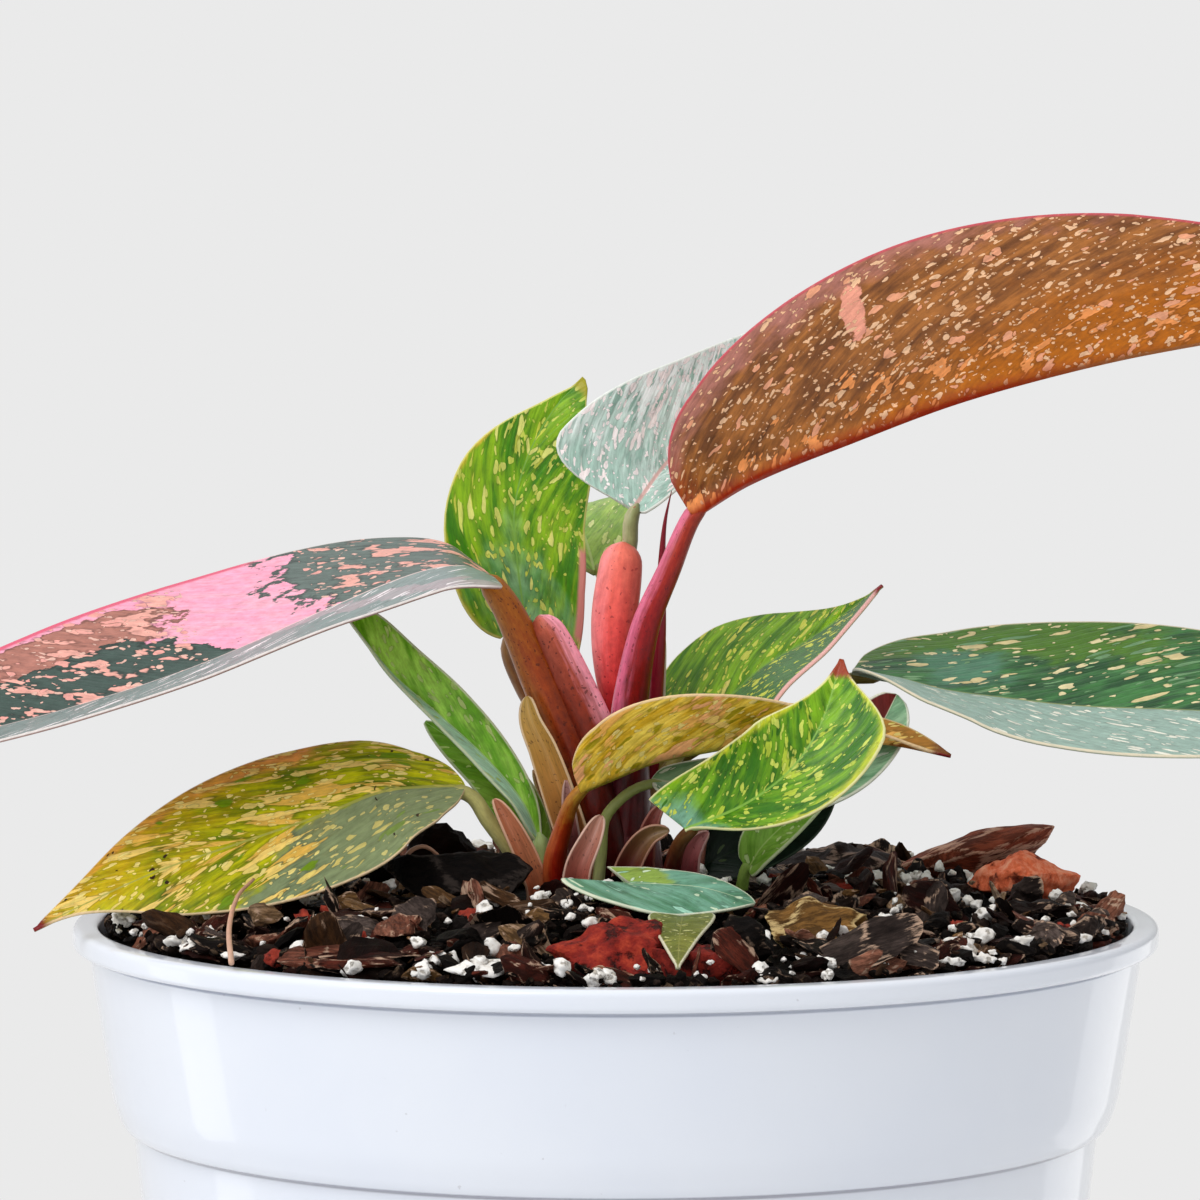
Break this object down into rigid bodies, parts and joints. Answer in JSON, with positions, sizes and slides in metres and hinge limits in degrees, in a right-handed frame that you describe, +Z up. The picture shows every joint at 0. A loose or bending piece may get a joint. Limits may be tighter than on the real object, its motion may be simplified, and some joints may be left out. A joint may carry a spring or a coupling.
{
  "type": "potted orange princess philodendron",
  "caption": "Young philodendron with arched bronze, pink and green speckled leaves on coloured stalks, growing from bark mix in a round white grower pot.",
  "frame": {"origin": "middle of the pot's underside, on the surface that the pot stands on", "axes": "+Z up; -Y towards the viewer of the picture; +X towards the tip of the large bronze leaf"},
  "size_m": [0.2299, 0.153, 0.2178],
  "materials": {
    "pot_plastic": "glossy moulded white plastic",
    "potting_mix": "dark damp bark, perlite and coir mix",
    "lava_rock": "rough porous red lava rock",
    "bark": "dry split bark with pale edges",
    "crown": "smooth dark maroon stem",
    "bronze_leaf": "waxy bronze leaf flecked with peach, magenta stalk",
    "pink_leaf": "waxy dark green leaf with a pink sector and peach flecks, brown stalk",
    "silver_leaf": "waxy grey-green leaf flecked with white, coral sheath on its stalk",
    "green_leaf": "waxy green leaf flecked with cream and yellow",
    "dark_leaf": "waxy dark green leaf flecked with cream",
    "lime_leaf": "waxy lime and amber leaf",
    "olive_leaf": "waxy olive and ochre leaf with orange patches",
    "bluish_leaf": "waxy bluish green leaf with a cream margin",
    "sheath": "thin papery tan and rose sheath",
    "new_leaf": "rolled crimson new leaf"
  },
  "bodies": {
    "root": {"pot": "pot_plastic", "soil_mix": "potting_mix", "lava_rock_front": "lava_rock", "lava_rock_middle": "lava_rock", "lava_rock_right": "lava_rock", "bark_slab_red": "bark", "bark_mound_right": "bark", "bark_chunk_tan": "bark", "bark_chunk_black": "bark", "crown_stem": "crown", "leaf_bronze_right": "bronze_leaf", "leaf_pink_left": "pink_leaf", "leaf_silver_top": "silver_leaf", "leaf_heart_back": "green_leaf", "leaf_green_rear": "green_leaf", "leaf_dark_right": "dark_leaf", "leaf_green_right": "green_leaf", "leaf_lime_left": "lime_leaf", "leaf_slender_left": "green_leaf", "leaf_olive_front": "olive_leaf", "leaf_green_front": "green_leaf", "leaf_grey_behind": "silver_leaf", "leaf_light_low": "green_leaf", "leaf_shade_right": "dark_leaf", "leaf_bluish_low": "bluish_leaf", "leaf_olive_tip": "olive_leaf", "leaf_bright_left": "green_leaf", "sheath_tan_left": "sheath", "sheath_rose_left": "sheath", "sheath_oval_front": "sheath", "sheath_pink_right": "sheath", "sheath_maroon_low": "sheath", "sheath_red_middle": "sheath", "sheath_pale_bud": "sheath", "sheath_amber_left": "sheath", "sheath_dry_back": "sheath", "new_leaf_spear": "new_leaf", "new_leaf_bud": "new_leaf"}
  },
  "joints": []
}
